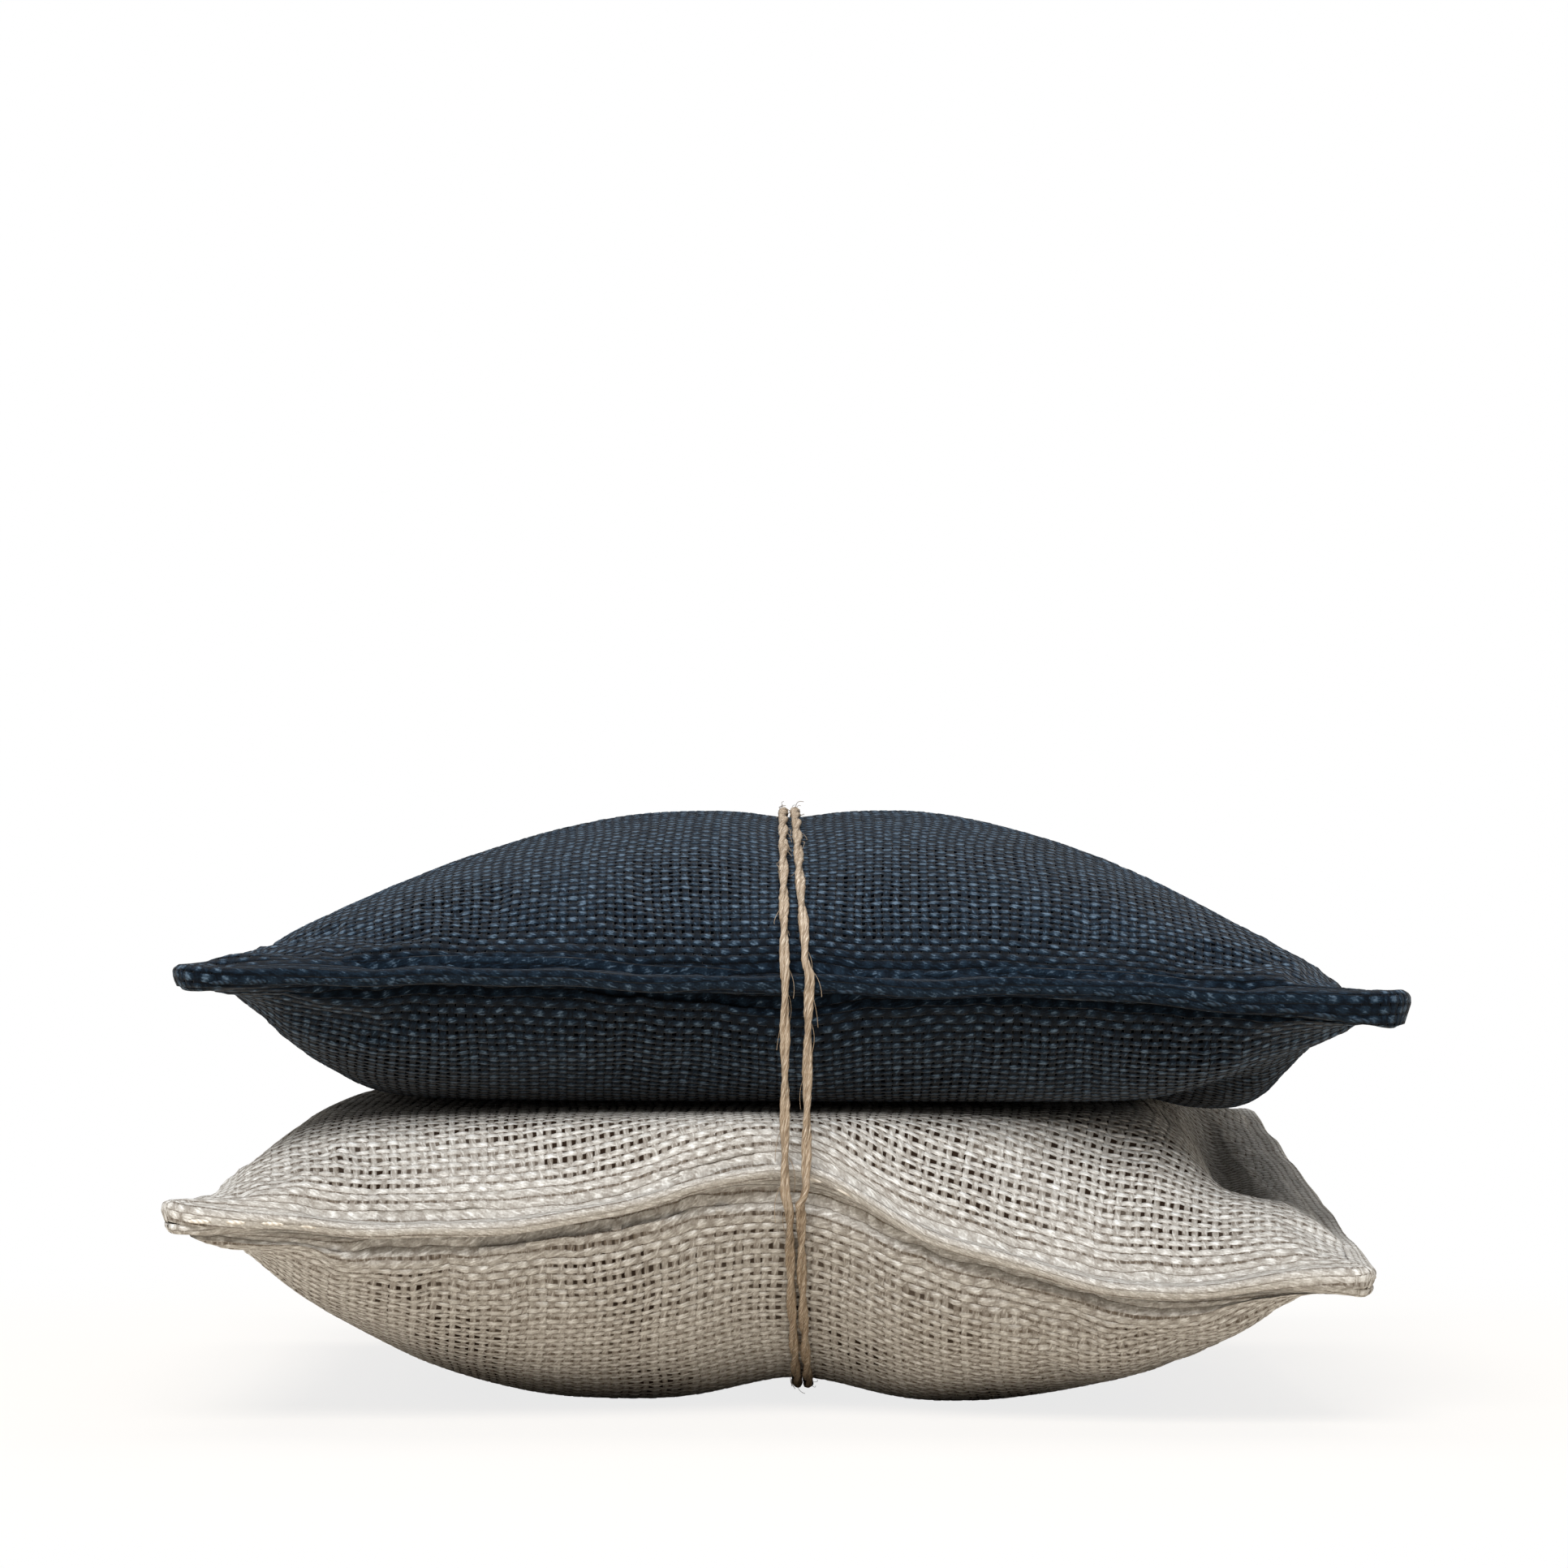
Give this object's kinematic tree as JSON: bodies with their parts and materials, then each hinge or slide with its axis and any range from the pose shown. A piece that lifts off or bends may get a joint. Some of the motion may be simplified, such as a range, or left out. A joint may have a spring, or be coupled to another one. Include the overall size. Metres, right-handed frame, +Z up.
{
  "type": "lavender sachet",
  "caption": "Two filled linen lavender sachets, one navy and one natural, stacked and tied with plain twine.",
  "frame": {"origin": "centre of the pair on the table it rests on", "axes": "+X to the right seen from the front, +Y from the front to the knot at the back, +Z up"},
  "size_m": [0.0993, 0.097, 0.0499],
  "materials": {
    "navy_linen": "plain weave, dyed navy, matt",
    "navy_thread": "sewing thread, navy",
    "natural_linen": "open plain weave, undyed, matt",
    "natural_thread": "sewing thread, ecru",
    "muslin": "thin cotton muslin, unbleached",
    "lavender": "dried flower buds",
    "flax_twine": "two-ply natural twine, hairy"
  },
  "bodies": {
    "root": {"navy_top_panel": "navy_linen", "navy_bottom_panel": "navy_linen", "navy_edge_thread": "navy_thread", "navy_liner_top": "muslin", "navy_liner_bottom": "muslin", "navy_lavender": "lavender", "natural_top_panel": "natural_linen", "natural_bottom_panel": "natural_linen", "natural_edge_thread": "natural_thread", "natural_liner_top": "muslin", "natural_liner_bottom": "muslin", "natural_lavender": "lavender", "twine": "flax_twine"}
  },
  "joints": []
}
